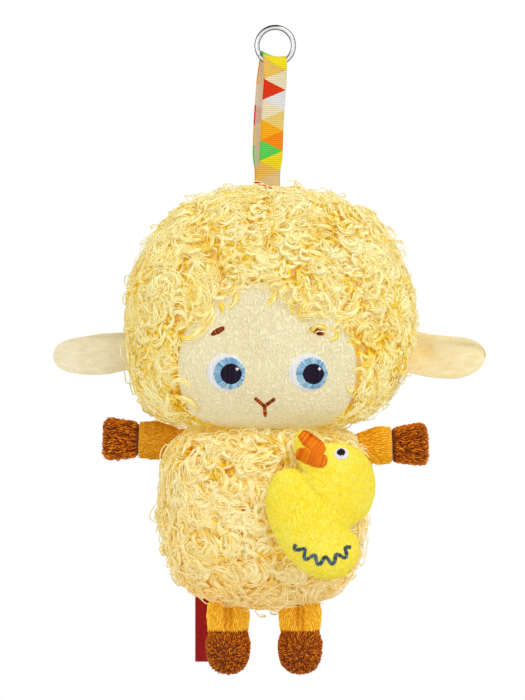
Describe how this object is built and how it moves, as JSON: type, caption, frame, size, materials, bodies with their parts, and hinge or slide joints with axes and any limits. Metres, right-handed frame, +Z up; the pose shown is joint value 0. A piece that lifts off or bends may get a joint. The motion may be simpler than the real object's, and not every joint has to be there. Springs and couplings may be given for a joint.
{
  "type": "plush sheep",
  "caption": "Plush sheep with curly fur, velour face, ears and stub limbs and a small stuffed duck on its front, hung by a ribbon loop from a metal ring.",
  "frame": {"origin": "the inside top of the hanging ring, where a hook carries it", "axes": "+Z up, the sheep faces -Y, and +X is the right-hand side as seen from the front"},
  "size_m": [0.2076, 0.1, 0.3113],
  "materials": {
    "nickel_ring": "nickel-plated round wire, bright",
    "ribbon_print": "printed grosgrain, matt, ribbed across",
    "curly_fur": "long curly pile in locks, pale yellow",
    "cream_velour": "short brushed velour, cream",
    "ochre_velour": "short streaky velour, ochre",
    "yellow_velour": "short streaky velour, lemon yellow",
    "brown_pile": "long straight pile, chestnut with orange tips",
    "fibre_fill": "loose white polyester fibre",
    "white_thread": "satin stitch, white",
    "blue_thread": "satin stitch, light blue",
    "dark_thread": "satin stitch, purple black",
    "brown_thread": "satin stitch, brown",
    "orange_thread": "satin stitch, orange",
    "grey_thread": "running stitch, blue grey",
    "woven_label": "woven satin tape, dark red"
  },
  "bodies": {
    "ring": {"hanging_ring": "nickel_ring"},
    "ribbon": {"ribbon_loop": "ribbon_print"},
    "head": {"head_fur_cover": "curly_fur", "face_panel": "cream_velour", "head_filling": "fibre_fill", "nose_mouth_stitch": "brown_thread", "eye_left_white": "white_thread", "eye_left_iris": "blue_thread", "eye_left_pupil": "dark_thread", "eye_left_glint": "white_thread", "eyebrow_left": "brown_thread", "eye_right_white": "white_thread", "eye_right_iris": "blue_thread", "eye_right_pupil": "dark_thread", "eye_right_glint": "white_thread", "eyebrow_right": "brown_thread"},
    "ear_left": {"ear_left_front": "cream_velour", "ear_left_back": "cream_velour"},
    "ear_right": {"ear_right_front": "cream_velour", "ear_right_back": "cream_velour"},
    "torso": {"body_fur_cover": "curly_fur", "body_filling": "fibre_fill", "duck_front_panel": "yellow_velour", "duck_back_panel": "yellow_velour", "duck_filling": "fibre_fill", "duck_beak_upper": "orange_thread", "duck_beak_lower": "orange_thread", "duck_eye_white": "white_thread", "duck_pupil": "dark_thread", "duck_wave_stitch": "grey_thread"},
    "label": {"side_label": "woven_label"},
    "arm_left": {"arm_left_sleeve": "ochre_velour", "arm_left_cuff": "brown_pile", "arm_left_filling": "fibre_fill"},
    "leg_left": {"leg_left_sleeve": "ochre_velour", "leg_left_hoof": "brown_pile", "leg_left_filling": "fibre_fill"},
    "arm_right": {"arm_right_sleeve": "ochre_velour", "arm_right_cuff": "brown_pile", "arm_right_filling": "fibre_fill"},
    "leg_right": {"leg_right_sleeve": "ochre_velour", "leg_right_hoof": "brown_pile", "leg_right_filling": "fibre_fill"}
  },
  "joints": [
    {"name": "ring_swing", "type": "hinge", "parent": "ring", "child": "ribbon", "pos_m": [0, 0, -0.01625], "axis": [1, 0, 0], "range_deg": [-30, 30]},
    {"name": "ribbon_bend", "type": "hinge", "parent": "ribbon", "child": "head", "pos_m": [-0.0037, 0, -0.079], "axis": [1, 0, 0], "range_deg": [-40, 40]},
    {"name": "ear_left_fold", "type": "hinge", "parent": "head", "child": "ear_left", "pos_m": [-0.0682, 0, -0.1538], "axis": [0, 0, 1], "range_deg": [-35, 35], "stiffness_Nm_per_rad": 0.002},
    {"name": "ear_right_fold", "type": "hinge", "parent": "head", "child": "ear_right", "pos_m": [0.0628, 0, -0.1538], "axis": [0, 0, 1], "range_deg": [-35, 35], "stiffness_Nm_per_rad": 0.002},
    {"name": "neck_turn", "type": "hinge", "parent": "head", "child": "torso", "pos_m": [-0.0027, 0, -0.1928], "axis": [0, 0, 1], "range_deg": [-30, 30], "stiffness_Nm_per_rad": 0.02},
    {"name": "arm_left_swing", "type": "hinge", "parent": "torso", "child": "arm_left", "pos_m": [-0.04501, 0, -0.19785], "axis": [0, 0, 1], "range_deg": [-30, 30], "stiffness_Nm_per_rad": 0.006},
    {"name": "arm_right_swing", "type": "hinge", "parent": "torso", "child": "arm_right", "pos_m": [0.0377, 0, -0.20015], "axis": [0, 0, 1], "range_deg": [-30, 30], "stiffness_Nm_per_rad": 0.006},
    {"name": "leg_left_swing", "type": "hinge", "parent": "torso", "child": "leg_left", "pos_m": [-0.02255, -0.002, -0.27135], "axis": [1, 0, 0], "range_deg": [-40, 12], "stiffness_Nm_per_rad": 0.006},
    {"name": "leg_right_swing", "type": "hinge", "parent": "torso", "child": "leg_right", "pos_m": [0.01195, -0.002, -0.27135], "axis": [1, 0, 0], "range_deg": [-40, 12], "stiffness_Nm_per_rad": 0.006},
    {"name": "label_flap", "type": "hinge", "parent": "torso", "child": "label", "pos_m": [-0.0307, 0.02, -0.26617], "axis": [1, 0, 0], "range_deg": [-2, 45], "stiffness_Nm_per_rad": 0.0005}
  ]
}
